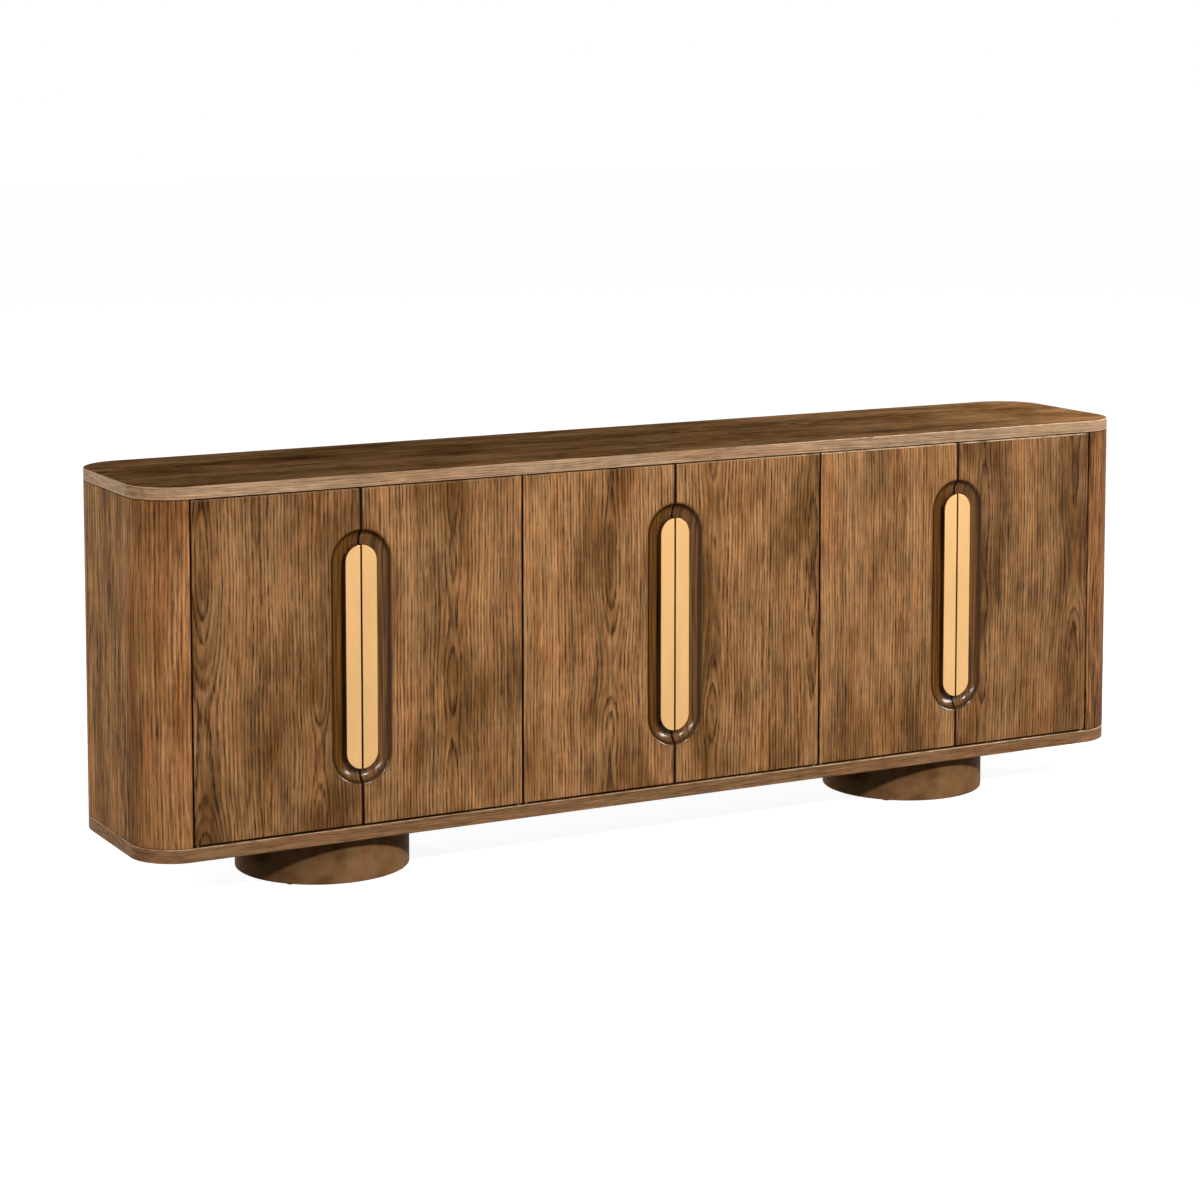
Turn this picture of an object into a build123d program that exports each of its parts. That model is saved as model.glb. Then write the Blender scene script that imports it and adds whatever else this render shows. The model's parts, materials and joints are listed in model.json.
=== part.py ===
from build123d import *
import math
import os

# A low sideboard with six doors in three pairs, on two drum plinths.
# Millimetres. The origin is on the floor under the middle of the case. +Z is up, the doors face -Y
# and +X runs to the right along the front. Doors are numbered 1 to 6 from the left.

# Case
length = 2440
depth = 440
corner_radius = 100
top_thickness = 26
base_thickness = 29
body_height = 713
slab_ease = 1.5

# Walls between the two slabs
end_thickness = 20
corner_wall = 20
side_thickness = 18
partition_thickness = 18
seam_ease = 0.8
side_fit = 0.3

# Back
back_thickness = 9
back_recess = 3
back_joint = 1.0
cleat_width = 15

# Doors
door_count = 6
bay_count = 3
door_thickness = 25
door_gap = 3
door_top_gap = 3
door_bottom_gap = 4
door_ease = 3.0
door_back_clearance = 3

# Stadium scoop shared by a pair of doors, and the brass plates on its island
scoop_straight = 400
scoop_radius = 66
scoop_depth = 16
scoop_floor = 3
cove_steps = 3
island_radius = 35
plate_thickness = 3
plate_inset = 0.5

# Pivot hinges in the top and bottom edge of each door
pivot_inset = 8
pivot_depth = 7
pin_radius = 2.0
pin_clearance = 0.05
pin_reach = 4
pin_end_room = 1.0
leaf_thickness = 2.5
leaf_nose_radius = 3.6
leaf_tail_radius = 6
leaf_length = 52
leaf_tail_depth = 12.5
leaf_mortise_clearance = 0.2
boss_clearance = 0.3

# Magnetic catches and strike plates
catch_width = 46
catch_depth = 18
catch_height = 15
catch_ear = 12
catch_ear_thickness = 3
magnet_width = 14
magnet_height = 6
magnet_depth = 10
magnet_proud = 0.6
magnet_spacing = 22
strike_width = 15
strike_height = 12
strike_thickness = 1.2
strike_clearance = 0.3

# Shelves on pins
shelf_thickness = 18
shelf_height = 350
shelf_front_setback = 14
shelf_back_gap = 3
shelf_side_gap = 2
shelf_ease = 1.5
shelf_pin_radius = 2.5
shelf_pin_reach = 12
pin_hole_depth = 8
pin_hole_clearance = 0.1
pin_hole_step = 64
pin_hole_inset = 50

# Drum plinths
plinth_radius = 187
plinth_wall = 20
plinth_height = 98
plinth_disc_thickness = 18
plinth_disc_fit = 0.2
glide_radius = 8
glide_thickness = 2
glide_count = 4
plinth_screw_count = 4
plinth_screw_inset = 60

# Screws: shank radius, head radius, head height and how far each reaches past what it holds
bolt_radius = 3
bolt_head_radius = 6.5
bolt_head_height = 4
bolt_reach = 16
screw_radius = 1.75
screw_head_radius = 3.5
screw_head_height = 2
screw_reach = 14
catch_screw_reach = 12
screw_hole_clearance = 0.1
back_screw_rows = 3
back_screw_inset = 60

# Small bores and round pieces under 20 mm across have this many sides. Hinge pins alone are round.
small_sides = 6

# One overrun carries every cut clear of the face that it starts from
overrun = 5

# Places that follow from the sizes above
straight_x = length / 2 - corner_radius
straight_y = depth / 2 - corner_radius
front_y = -depth / 2
back_y = depth / 2
door_width = (2 * straight_x - (door_count + 1) * door_gap) / door_count
door_pitch = door_width + door_gap
door_height = body_height - door_top_gap - door_bottom_gap
base_bottom = glide_thickness + plinth_height
base_top = base_bottom + base_thickness
body_top = base_top + body_height
door_bottom = base_top + door_bottom_gap
door_back_y = front_y + door_thickness
wall_front_y = door_back_y + door_back_clearance
panel_back_y = back_y - back_recess
panel_front_y = panel_back_y - back_thickness
seam_s = door_width + door_gap / 2
shelf_bottom = base_top + shelf_height
shelf_pin_z = shelf_bottom - shelf_pin_radius
shelf_front_y = wall_front_y + shelf_front_setback
shelf_back_y = panel_front_y - cleat_width - shelf_back_gap


def gap_x(number):
    """X of the middle of one of the seven vertical gaps, counted from 0 at the left."""
    return -straight_x + door_gap / 2 + number * door_pitch


def block(x_span, y_span, z_span):
    """A box between two X, two Y and two Z values."""
    size = [high - low for low, high in (x_span, y_span, z_span)]
    middle = [(low + high) / 2 for low, high in (x_span, y_span, z_span)]
    return Pos(*middle) * Box(*size)


def upright(radius, x, y, z_span):
    """A vertical cylinder from one height to another."""
    low, high = z_span
    return Pos(x, y, (low + high) / 2) * Cylinder(radius, high - low)


def rod(radius, direction, start, reach):
    """A small pin or shank from a start point along a direction, its sides inside its circle."""
    plane = Plane(origin=start, z_dir=direction)
    return extrude(plane * RegularPolygon(radius, small_sides), reach)


def bore(radius, direction, start, reach):
    """The hole for a small pin or shank, its sides outside its circle."""
    plane = Plane(origin=start, z_dir=direction)
    return extrude(plane * RegularPolygon(radius, small_sides, major_radius=False), reach)


def screw(shank_radius, head_radius, head_height, start, direction, reach):
    """A screw whose head sits on the start point."""
    head = rod(head_radius, direction, start, -head_height)
    return head + rod(shank_radius, direction, start, reach)


def save(shape, name):
    export_step(shape, "parts/" + name + ".step")


# Door pairs, and the walls at each end of a bay

pair_gaps = range(1, door_count, 2)
wall_gaps = range(2, door_count, 2)


def bay_span(bay):
    """X of the clear space inside a bay, from wall face to wall face."""
    low = -straight_x if bay == 0 else gap_x(2 * bay) + partition_thickness / 2
    last = bay == bay_count - 1
    high = straight_x if last else gap_x(2 * bay + 2) - partition_thickness / 2
    return low, high


# Slabs

def slab(bottom, thickness):
    body = Pos(0, 0, bottom) * extrude(RectangleRounded(length, depth, corner_radius), thickness)
    edges = body.edges().group_by(Axis.Z)
    return chamfer(edges[0] + edges[-1], slab_ease)


def top_slab():
    body = slab(body_top, top_thickness)
    for door in range(door_count):
        body -= place(door, at_top(leaf_mortise(door_top_gap)))
    for hole in catch_screw_holes():
        body -= hole
    return body


def base_slab():
    body = slab(base_bottom, base_thickness)
    for door in range(door_count):
        body -= place(door, leaf_mortise(door_bottom_gap))
    for x, y in plinth_screw_places():
        body -= bore(bolt_radius + screw_hole_clearance, (0, 0, 1), (x, y, base_bottom - overrun),
                     overrun + bolt_reach + pin_end_room)
    return body


# Walls

def end_panel(side):
    outer = side * length / 2
    inner = outer - side * end_thickness
    body = block(sorted((outer, inner)), (-straight_y, straight_y), (base_top, body_top))
    face = body.faces().sort_by(Axis.X)[-1 if side > 0 else 0]
    return chamfer(face.edges(), seam_ease)


def corner_piece(side_x, side_y):
    """A quarter round of bent plywood, 0 to 90 degrees, turned to its corner."""
    inner = corner_radius - corner_wall
    ring = Circle(corner_radius) - Circle(inner)
    quarter = ring & (Pos(corner_radius / 2, corner_radius / 2) * Rectangle(corner_radius, corner_radius))
    body = Pos(0, 0, base_top) * extrude(quarter, body_height)
    outer = body.faces().filter_by(GeomType.CYLINDER).sort_by(lambda face: face.area)[-1]
    body = chamfer(outer.edges(), seam_ease)
    turn = {(1, 1): 0, (-1, 1): 90, (-1, -1): 180, (1, -1): 270}[side_x, side_y]
    return Pos(side_x * straight_x, side_y * straight_y, 0) * Rot(0, 0, turn) * body


def side_reach():
    """How far forward or back an inner side can go before it meets the curved corners."""
    inner = corner_radius - corner_wall
    return straight_y + math.sqrt(inner ** 2 - side_thickness ** 2) - side_fit


def pin_hole_rows():
    """Y of the front and the back row of shelf pin holes."""
    return wall_front_y + pin_hole_inset, shelf_back_y - pin_hole_inset


def pin_holes(face_x, inward):
    """Shelf pin holes in a wall face, three heights in two rows, drilled away from the bay."""
    holes = []
    for y in pin_hole_rows():
        for step in (-1, 0, 1):
            start = (face_x + inward * overrun, y, shelf_pin_z + step * pin_hole_step)
            holes.append(bore(shelf_pin_radius + pin_hole_clearance, (-inward, 0, 0), start,
                              overrun + pin_hole_depth))
    return holes


def inner_side(side):
    face_x = side * straight_x
    outer = face_x + side * side_thickness
    body = block(sorted((face_x, outer)), (-side_reach(), side_reach()), (base_top, body_top))
    for hole in pin_holes(face_x, -side):
        body -= hole
    return body


def partition(gap):
    low, high = gap_x(gap) - partition_thickness / 2, gap_x(gap) + partition_thickness / 2
    body = block((low, high), (wall_front_y, panel_front_y), (base_top, body_top))
    for hole in pin_holes(low, -1) + pin_holes(high, 1):
        body -= hole
    for gap_at, x, z in back_screw_places():
        if gap_at == gap:
            body -= back_screw_hole(x, z, panel_front_y)
    return body


def back_span(bay):
    """X span of a back panel, out to the corner pieces or to the middle of a partition."""
    low = -straight_x if bay == 0 else gap_x(2 * bay) + back_joint / 2
    last = bay == bay_count - 1
    high = straight_x if last else gap_x(2 * bay + 2) - back_joint / 2
    return low, high


def back_screw_places():
    """The gap whose wall takes each back screw, and the screw's X and Z."""
    places = []
    for bay in range(bay_count):
        low, high = back_span(bay)
        inset_low = cleat_width / 2 if bay == 0 else partition_thickness / 4
        inset_high = cleat_width / 2 if bay == bay_count - 1 else partition_thickness / 4
        for gap, x in ((2 * bay, low + inset_low), (2 * bay + 2, high - inset_high)):
            for row in range(back_screw_rows):
                rise = (body_height - 2 * back_screw_inset) * row / (back_screw_rows - 1)
                places.append((gap, x, base_top + back_screw_inset + rise))
    return places


def back_screw_hole(x, z, face_y):
    return bore(screw_radius + screw_hole_clearance, (0, -1, 0), (x, face_y + overrun, z),
                overrun + screw_reach + pin_end_room)


def back_panel(bay):
    body = block(back_span(bay), (panel_front_y, panel_back_y), (base_top, body_top))
    low, high = back_span(bay)
    for gap, x, z in back_screw_places():
        if low < x < high:
            body -= bore(screw_radius + screw_hole_clearance, (0, -1, 0), (x, panel_back_y + overrun, z),
                         back_thickness + 2 * overrun)
    return body


def back_cleats():
    """Corner battens that the outer edges of the back are screwed to."""
    cleats = []
    for side, gap in ((-1, 0), (1, door_count)):
        face_x = side * straight_x
        span = sorted((face_x, face_x - side * cleat_width))
        body = block(span, (panel_front_y - cleat_width, panel_front_y), (base_top, body_top))
        for gap_at, x, z in back_screw_places():
            if gap_at == gap:
                body -= bore(screw_radius + screw_hole_clearance, (0, -1, 0),
                             (x, panel_front_y + overrun, z), 2 * overrun + cleat_width)
        cleats.append(body)
    return Compound(cleats)


def back_screws():
    return Compound([
        screw(screw_radius, screw_head_radius, screw_head_height, (x, panel_back_y, z), (0, -1, 0),
              back_thickness + screw_reach)
        for gap, x, z in back_screw_places()
    ])


# Shelves

def shelf(bay):
    low, high = bay_span(bay)
    body = block((low + shelf_side_gap, high - shelf_side_gap), (shelf_front_y, shelf_back_y),
                 (shelf_bottom, shelf_bottom + shelf_thickness))
    front = body.faces().sort_by(Axis.Y)[0]
    return fillet(front.edges().filter_by(Axis.X), shelf_ease)


def shelf_pins():
    pins = []
    for bay in range(bay_count):
        for face_x, inward in zip(bay_span(bay), (1, -1)):
            for y in pin_hole_rows():
                start = (face_x - inward * pin_hole_depth, y, shelf_pin_z)
                reach = pin_hole_depth + shelf_pin_reach
                pins.append(rod(shelf_pin_radius, (inward, 0, 0), start, reach))
    return Compound(pins)


# Drum plinths, centred under the two outer door pairs

plinth_sides = {"left": gap_x(1), "right": gap_x(door_count - 1)}


def plinth_shell(x):
    height = (glide_thickness, base_bottom)
    inner = plinth_radius - plinth_wall
    hollow = upright(inner, x, 0, (glide_thickness - overrun, base_bottom + overrun))
    return upright(plinth_radius, x, 0, height) - hollow


def plinth_disc(x):
    radius = plinth_radius - plinth_wall - plinth_disc_fit
    disc = upright(radius, x, 0, (base_bottom - plinth_disc_thickness, base_bottom))
    for screw_x, screw_y in plinth_screw_places():
        if abs(screw_x - x) < plinth_radius:
            disc -= bore(bolt_radius + screw_hole_clearance, (0, 0, 1),
                         (screw_x, screw_y, base_bottom - plinth_disc_thickness - overrun),
                         plinth_disc_thickness + 2 * overrun)
    return disc


def around(count, radius, x):
    """Points evenly round a plinth, starting half a step from the front."""
    turns = [2 * math.pi * (number + 1 / 2) / count for number in range(count)]
    return [(x + radius * math.cos(turn), radius * math.sin(turn)) for turn in turns]


def plinth_screw_places():
    radius = plinth_radius - plinth_wall - plinth_screw_inset
    return [place_xy for x in plinth_sides.values() for place_xy in around(plinth_screw_count, radius, x)]


def plinth_screws():
    under = base_bottom - plinth_disc_thickness
    return Compound([
        screw(bolt_radius, bolt_head_radius, bolt_head_height, (x, y, under), (0, 0, 1),
              plinth_disc_thickness + bolt_reach)
        for x, y in plinth_screw_places()
    ])


def plinth_glides():
    radius = plinth_radius - plinth_wall / 2
    return Compound([
        rod(glide_radius, (0, 0, 1), (x, y, 0), glide_thickness)
        for plinth_x in plinth_sides.values() for x, y in around(glide_count, radius, plinth_x)
    ])


# Doors. Each is drawn as a door hinged on its left, with its hinge edge at x = 0, its face at y = 0
# and its bottom at z = 0. Even doors are the mirror image, hinged on their right.

def place(door, shape):
    """Moves a piece drawn for a left-hinged door to door 0 to 5, mirrored on every second one."""
    if door % 2 == 0:
        return Pos(gap_x(door) + door_gap / 2, front_y, door_bottom) * shape
    return Pos(gap_x(door + 1) - door_gap / 2, front_y, door_bottom) * mirror(shape, Plane.YZ)


def at_top(shape):
    """Turns a piece drawn at the bottom of a door over to its top."""
    return Pos(0, 0, door_height) * mirror(shape, Plane.XY)


def scoop_profile(z):
    """Section of the scoop: a wall at the island, a short flat floor, then a cove up to the rim."""
    floor_end = island_radius + scoop_floor
    reach = scoop_radius - floor_end
    cove_radius = (reach ** 2 + scoop_depth ** 2) / (2 * scoop_depth)
    sweep = math.asin(reach / cove_radius)

    def at(distance, down):
        return (seam_s - distance, down, z)

    def on_cove(turn):
        fall = cove_radius * (1 - math.cos(turn))
        return at(floor_end + cove_radius * math.sin(turn), scoop_depth - fall)

    cove = [on_cove(sweep * step / cove_steps) for step in range(cove_steps + 1)]
    wall = [at(island_radius, -overrun), at(island_radius, scoop_depth)]
    return make_face(Polyline(*wall, *cove, at(scoop_radius, -overrun), close=True))


def scoop():
    """Half of the stadium scoop: a straight run, and a quarter turn at each end to the seam."""
    middle = door_height / 2
    low, high = middle - scoop_straight / 2, middle + scoop_straight / 2
    run = extrude(scoop_profile(low), scoop_straight)
    upper = revolve(scoop_profile(high), Axis((seam_s, 0, high), (0, 1, 0)), 90)
    lower = revolve(scoop_profile(low), Axis((seam_s, 0, low), (0, -1, 0)), 90)
    return run + upper + lower


def island_prism(start, end):
    """The stadium of the island between two depths."""
    plane = Plane(origin=(seam_s, start, door_height / 2), x_dir=(0, 0, 1), z_dir=(0, 1, 0))
    return extrude(plane * SlotCenterToCenter(scoop_straight, 2 * island_radius), end - start)


def leaf_outline(grow):
    """A tapered bar with a blunt nose round the pin, drawn as the hull of its two ends."""
    nose = Pos(pivot_inset, pivot_depth) * RegularPolygon(leaf_nose_radius + grow, small_sides)
    tail = Pos(leaf_length, leaf_tail_depth) * RegularPolygon(leaf_tail_radius + grow, small_sides)
    return make_hull(nose.edges() + tail.edges())


def door_panel():
    body = block((0, door_width), (0, door_thickness), (0, door_height))
    body = fillet(body.faces().sort_by(Axis.Y)[0].edges(), door_ease)
    body -= scoop()
    body -= island_prism(-overrun, plate_thickness)
    outline = leaf_outline(leaf_mortise_clearance)
    mortise = extrude(Pos(0, 0, -overrun) * outline, overrun + leaf_thickness)
    end = leaf_thickness + pin_reach + pin_end_room
    mortise += bore(pin_radius + pin_end_room, (0, 0, 1), (pivot_inset, pivot_depth, 0), end)
    body -= mortise
    body -= at_top(mortise)
    return body


def pull_plate():
    """Half a stadium of brass, flush with the door face, short of the door's edge."""
    body = island_prism(0, plate_thickness)
    keep = block((seam_s - 2 * island_radius, door_width - plate_inset), (-overrun, door_thickness),
                 (0, door_height))
    return body & keep


def door_leaf():
    body = extrude(leaf_outline(0), leaf_thickness)
    return body - bore(pin_radius + pin_clearance, (0, 0, 1), (pivot_inset, pivot_depth, -overrun),
                       leaf_thickness + 2 * overrun)


def leaf_mortise(gap):
    """The pocket in a slab that a fixed leaf lies in."""
    pocket = extrude(leaf_outline(leaf_mortise_clearance), leaf_thickness + gap)
    return Pos(0, 0, -gap - leaf_thickness) * pocket


def fixed_leaf(gap):
    """A leaf flush in a slab, with a thrust boss that spans the gap to the door."""
    body = Pos(0, 0, -gap - leaf_thickness) * extrude(leaf_outline(0), leaf_thickness)
    body += rod(leaf_nose_radius, (0, 0, 1), (pivot_inset, pivot_depth, -gap), gap - boss_clearance)
    return body - bore(pin_radius + pin_clearance, (0, 0, 1),
                       (pivot_inset, pivot_depth, -gap - leaf_thickness - overrun),
                       leaf_thickness + gap + 2 * overrun)


def hinge_pin(gap):
    foot = -gap - leaf_thickness
    return upright(pin_radius, pivot_inset, pivot_depth, (foot, leaf_thickness + pin_reach))


def hinge_group(piece):
    """A fixed hinge piece at the bottom and the top of every door."""
    group = []
    for door in range(door_count):
        group.append(place(door, piece(door_bottom_gap)))
        group.append(place(door, at_top(piece(door_top_gap))))
    return Compound(group)


# Catches. The strike plates are on the backs of the doors, level with the magnets.

catch_z = body_top - catch_height / 2
catch_front_y = door_back_y + strike_thickness + strike_clearance + magnet_proud


def strike_plate():
    middle_s = seam_s - magnet_spacing / 2
    middle_z = catch_z - door_bottom
    return block((middle_s - strike_width / 2, middle_s + strike_width / 2),
                 (door_thickness, door_thickness + strike_thickness),
                 (middle_z - strike_height / 2, middle_z + strike_height / 2))


def magnet(x):
    front = catch_front_y - magnet_proud
    return block((x - magnet_width / 2, x + magnet_width / 2), (front, front + magnet_depth),
                 (catch_z - magnet_height / 2, catch_z + magnet_height / 2))


def catch_magnets():
    return [magnet(gap_x(gap) + side * magnet_spacing / 2) for gap in pair_gaps for side in (-1, 1)]


def catch_ear_places():
    offset = catch_width / 2 + catch_ear / 2
    middle_y = catch_front_y + catch_depth / 2
    return [(gap_x(gap) + side * offset, middle_y) for gap in pair_gaps for side in (-1, 1)]


def catch_housings():
    housings = []
    for gap in pair_gaps:
        x, y_span = gap_x(gap), (catch_front_y, catch_front_y + catch_depth)
        body = block((x - catch_width / 2, x + catch_width / 2), y_span,
                     (body_top - catch_height, body_top))
        reach = catch_width / 2 + catch_ear
        body += block((x - reach, x + reach), y_span, (body_top - catch_ear_thickness, body_top))
        for piece in catch_magnets():
            body -= piece
        for ear_x, ear_y in catch_ear_places():
            if abs(ear_x - x) < reach:
                body -= bore(screw_radius + screw_hole_clearance, (0, 0, 1),
                             (ear_x, ear_y, body_top - catch_ear_thickness - overrun),
                             catch_ear_thickness + 2 * overrun)
        housings.append(body)
    return Compound(housings)


def catch_screw_holes():
    return [
        bore(screw_radius + screw_hole_clearance, (0, 0, 1), (x, y, body_top - overrun),
             overrun + catch_screw_reach + pin_end_room)
        for x, y in catch_ear_places()
    ]


def catch_screws():
    under = body_top - catch_ear_thickness
    return Compound([
        screw(screw_radius, screw_head_radius, screw_head_height, (x, y, under), (0, 0, 1),
              catch_ear_thickness + catch_screw_reach)
        for x, y in catch_ear_places()
    ])


def write_parts():
    os.makedirs("parts", exist_ok=True)
    save(top_slab(), "top_slab")
    save(base_slab(), "base_slab")
    for name, side in (("left", -1), ("right", 1)):
        save(end_panel(side), name + "_end_panel")
        save(corner_piece(side, -1), "front_" + name + "_corner")
        save(corner_piece(side, 1), "back_" + name + "_corner")
        save(inner_side(side), name + "_inner_side")
        save(plinth_shell(plinth_sides[name]), name + "_plinth_shell")
        save(plinth_disc(plinth_sides[name]), name + "_plinth_disc")
    for name, gap in zip(("left", "right"), wall_gaps):
        save(partition(gap), name + "_partition")
    for bay, name in enumerate(("left", "middle", "right")):
        save(back_panel(bay), name + "_back_panel")
        save(shelf(bay), name + "_shelf")
    save(back_cleats(), "back_cleats")
    save(back_screws(), "back_screws")
    save(shelf_pins(), "shelf_pins")
    save(plinth_screws(), "plinth_screws")
    save(plinth_glides(), "plinth_glides")
    save(hinge_group(fixed_leaf), "fixed_hinge_leaves")
    save(hinge_group(hinge_pin), "hinge_pins")
    save(catch_housings(), "catch_housings")
    save(Compound(catch_magnets()), "catch_magnets")
    save(catch_screws(), "catch_screws")
    panel, plate, strike = door_panel(), pull_plate(), strike_plate()
    leaves = Compound([door_leaf(), at_top(door_leaf())])
    for door in range(door_count):
        name = "door_" + str(door + 1)
        save(place(door, panel), name + "_panel")
        save(place(door, plate), name + "_pull_plate")
        save(place(door, leaves), name + "_hinge_leaves")
        save(place(door, strike), name + "_strike_plate")


write_parts()
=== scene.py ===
import json
import math
import bmesh
import bpy
from mathutils import Matrix, Vector

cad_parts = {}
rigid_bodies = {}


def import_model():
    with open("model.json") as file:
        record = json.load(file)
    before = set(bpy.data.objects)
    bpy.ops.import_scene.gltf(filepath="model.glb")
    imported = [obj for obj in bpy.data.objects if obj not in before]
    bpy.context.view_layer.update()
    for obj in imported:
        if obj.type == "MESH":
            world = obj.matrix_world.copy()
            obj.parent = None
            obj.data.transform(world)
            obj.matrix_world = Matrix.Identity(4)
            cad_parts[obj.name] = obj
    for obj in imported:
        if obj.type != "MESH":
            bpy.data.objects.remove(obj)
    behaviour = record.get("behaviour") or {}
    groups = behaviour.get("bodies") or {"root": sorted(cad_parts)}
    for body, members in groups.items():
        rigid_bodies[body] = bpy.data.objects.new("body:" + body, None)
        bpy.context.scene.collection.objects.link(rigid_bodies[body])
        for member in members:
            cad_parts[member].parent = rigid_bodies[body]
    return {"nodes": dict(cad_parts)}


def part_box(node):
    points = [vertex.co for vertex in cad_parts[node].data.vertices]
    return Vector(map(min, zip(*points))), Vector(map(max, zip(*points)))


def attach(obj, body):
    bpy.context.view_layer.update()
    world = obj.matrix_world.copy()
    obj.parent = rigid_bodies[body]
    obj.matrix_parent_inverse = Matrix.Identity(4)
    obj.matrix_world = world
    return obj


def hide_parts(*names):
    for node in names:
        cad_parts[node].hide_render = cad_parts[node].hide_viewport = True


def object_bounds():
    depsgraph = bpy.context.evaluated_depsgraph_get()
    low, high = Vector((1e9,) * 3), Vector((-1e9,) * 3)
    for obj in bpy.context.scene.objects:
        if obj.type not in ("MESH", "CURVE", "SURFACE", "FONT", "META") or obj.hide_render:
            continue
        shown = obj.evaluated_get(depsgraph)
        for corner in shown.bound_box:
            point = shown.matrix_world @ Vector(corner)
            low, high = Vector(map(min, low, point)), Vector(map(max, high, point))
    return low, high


# A six-door sideboard in stained veneer, on two drum plinths.
# Metres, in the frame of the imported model: +Z is up, the doors face -Y, +X runs to the right.

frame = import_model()
nodes = frame["nodes"]
cad_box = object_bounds()


# Sizes, read from the frame where it has them

mm = 0.001
X, Y, Z = range(3)
both_sides = (("left", -1), ("right", 1))
door_numbers = range(1, 7)
case_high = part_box("top_slab")[1]
base_top_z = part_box("base_slab")[1].z
top_under_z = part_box("top_slab")[0].z
corner_low, corner_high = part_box("front_left_corner")
corner_radius = corner_high.x - corner_low.x
corner_wall = 20 * mm
corner_steps = 24
door_low, door_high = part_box("door_1_panel")
front_y = door_low.y
door_low_z, door_high_z = door_low.z, door_high.z
door_middle_z = (door_low_z + door_high_z) / 2
slab_ease = 1.6 * mm
seam_ease = 1.2 * mm
door_ease = 3 * mm
door_seam_ease = 2.5 * mm
island_radius = 35 * mm
island_slack = 0.5 * mm
scoop_straight = 400 * mm
scoop_radius = 66 * mm
scoop_depth = 16 * mm
scoop_floor_end = 38 * mm
scoop_rim = 6 * mm
plate_thickness = 3 * mm
plate_ease = 0.6 * mm
plinth_wall = 20 * mm
plinth_ease = 1.5 * mm
pivot_depth = 7 * mm
pivot_inset = 8 * mm
pin_radius = 2 * mm
pin_room = 0.1 * mm
pin_reach = 4 * mm
pin_end_room = 1 * mm
leaf_nose_radius = 3.6 * mm
leaf_tail_radius = 6 * mm
leaf_tail_inset = 52 * mm
leaf_tail_depth = 12.5 * mm
leaf_room = 0.2 * mm
leaf_ease = 0.25 * mm
leaf_round_share = 0.97
washer_room = 0.3 * mm
washer_ease = 0.2 * mm
ear_thickness = 3 * mm
ear_length = 12 * mm
catch_ease = 0.6 * mm
magnet_room = 0.15 * mm
strike_corner = 2.5 * mm
strike_ease = 0.3 * mm
dimple_radius = 3 * mm
dimple_depth = 0.6 * mm
pin_hole_step = 64 * mm
pin_hole_radius = 2.6 * mm
board_ease = 0.8 * mm
cut_room = 5 * mm
room = Vector((cut_room, cut_room, cut_room))
close_to = 0.05 * mm

pair_seams = [
    (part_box("door_%d_panel" % left)[1].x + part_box("door_%d_panel" % (left + 1))[0].x) / 2
    for left in (1, 3, 5)
]


# Modelling helpers. Each piece is started from a primitive and shaped in edit mode.

def deselect():
    bpy.ops.object.select_all(action="DESELECT")


def settle(name):
    """Names the object just added and puts its place into its mesh."""
    piece = bpy.context.object
    piece.name = name
    piece.data.name = name
    bpy.ops.object.transform_apply(location=True, rotation=True, scale=True)
    return piece


def add_block(name, low, high):
    deselect()
    low, high = Vector(low), Vector(high)
    bpy.ops.mesh.primitive_cube_add(size=1, location=(low + high) / 2, scale=high - low)
    return settle(name)


def add_flat(name, centre, width, height, turn):
    deselect()
    bpy.ops.mesh.primitive_plane_add(size=1, location=centre, rotation=turn)
    bpy.context.object.scale = (width, height, 1)
    return settle(name)


def add_round(name, radius, foot, head, sides=32):
    """A cylinder from one point to another."""
    deselect()
    foot, head = Vector(foot), Vector(head)
    turn = (head - foot).to_track_quat("Z", "Y").to_euler()
    bpy.ops.mesh.primitive_cylinder_add(vertices=sides, radius=radius, depth=(head - foot).length,
                                        location=(foot + head) / 2, rotation=turn)
    return settle(name)


def activate(piece):
    deselect()
    piece.select_set(True)
    bpy.context.view_layer.objects.active = piece


def open_edit(piece):
    activate(piece)
    bpy.ops.object.mode_set(mode="EDIT")
    bpy.ops.mesh.select_all(action="DESELECT")


def close_edit():
    bpy.ops.object.mode_set(mode="OBJECT")


def choose(piece, kind, test):
    """In edit mode, selects the vertices, edges or faces that pass the test."""
    bpy.ops.mesh.select_mode(type=kind)
    bpy.ops.mesh.select_all(action="DESELECT")
    mesh = bmesh.from_edit_mesh(piece.data)
    for part in {"VERT": mesh.verts, "EDGE": mesh.edges, "FACE": mesh.faces}[kind]:
        if test(part):
            part.select_set(True)
    bmesh.update_edit_mesh(piece.data)


def bevel(width, segments, affect="EDGES"):
    bpy.ops.mesh.bevel(offset=width, segments=segments, affect=affect, profile=0.5, clamp_overlap=False)


def ends(edge):
    return [vertex.co for vertex in edge.verts]


def near(value, other):
    return abs(value - other) < close_to


def runs_along(edge, axis):
    first, second = ends(edge)
    return all(near(first[other], second[other]) for other in (X, Y, Z) if other != axis)


def in_plane(edge, axis, value):
    return all(near(end[axis], value) for end in ends(edge))


def face_out(piece):
    """Merges doubled vertices and turns every face outwards."""
    open_edit(piece)
    bpy.ops.mesh.select_all(action="SELECT")
    bpy.ops.mesh.remove_doubles(threshold=close_to / 5)
    bpy.ops.mesh.normals_make_consistent(inside=False)
    close_edit()


def finish_surface(piece, angle=40):
    """Smooth shading over small turns, led by the larger faces."""
    activate(piece)
    bpy.ops.object.shade_smooth_by_angle(angle=math.radians(angle))
    lead = piece.modifiers.new("Large faces lead", "WEIGHTED_NORMAL")
    lead.keep_sharp = True
    bpy.ops.object.modifier_apply(modifier=lead.name)
    return piece


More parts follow.
